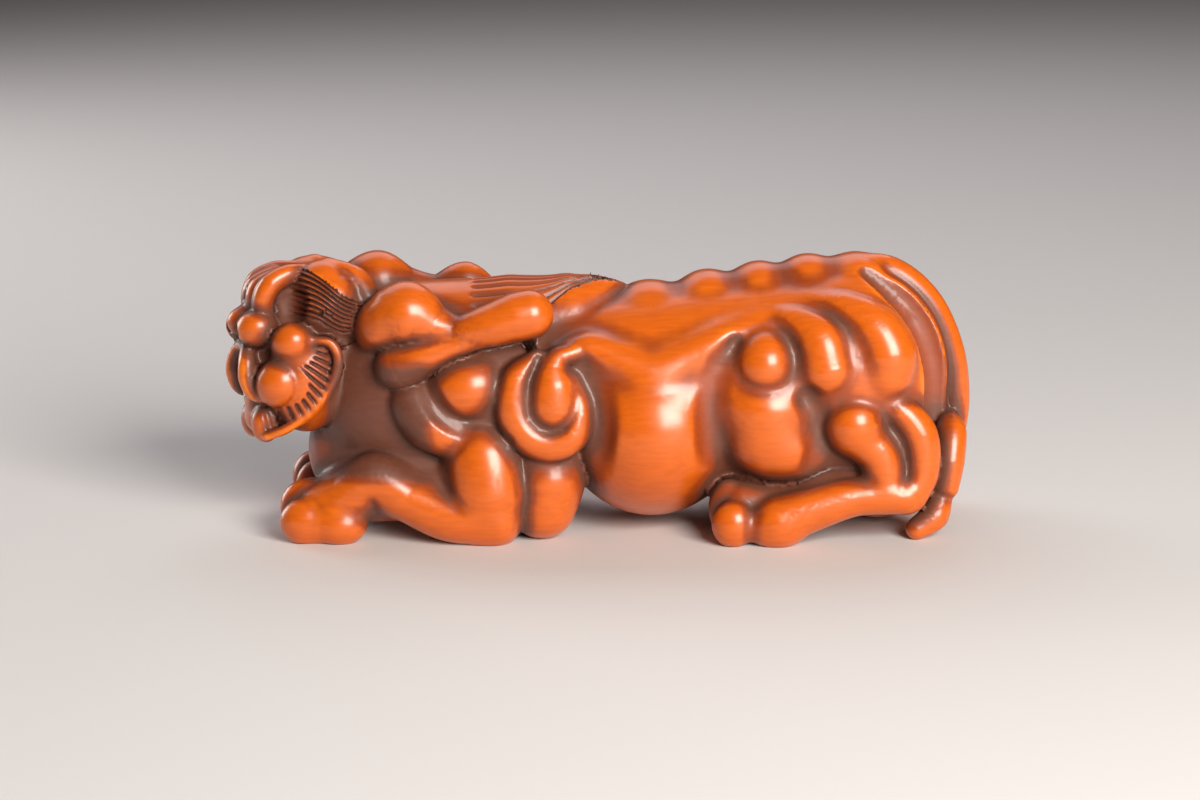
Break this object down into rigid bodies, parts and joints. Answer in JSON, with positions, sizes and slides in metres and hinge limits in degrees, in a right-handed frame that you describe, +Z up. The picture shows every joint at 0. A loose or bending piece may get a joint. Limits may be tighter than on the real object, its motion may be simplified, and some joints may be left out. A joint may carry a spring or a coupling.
{
  "type": "boxwood pixiu statue",
  "caption": "Recumbent winged lion figure carved in one block of wood, resting on its legs and belly.",
  "frame": {"origin": "under the middle of the carving's bounding box, on the surface that it stands on", "axes": "+Z up, +X from the snout towards the tail, -Y towards the figure's left side"},
  "size_m": [0.111, 0.0362, 0.0408],
  "materials": {
    "boxwood": "stained and waxed boxwood, rubbed to a gloss on the high places, matt brown in the recesses"
  },
  "bodies": {
    "root": {"pixiu": "boxwood"}
  },
  "joints": []
}
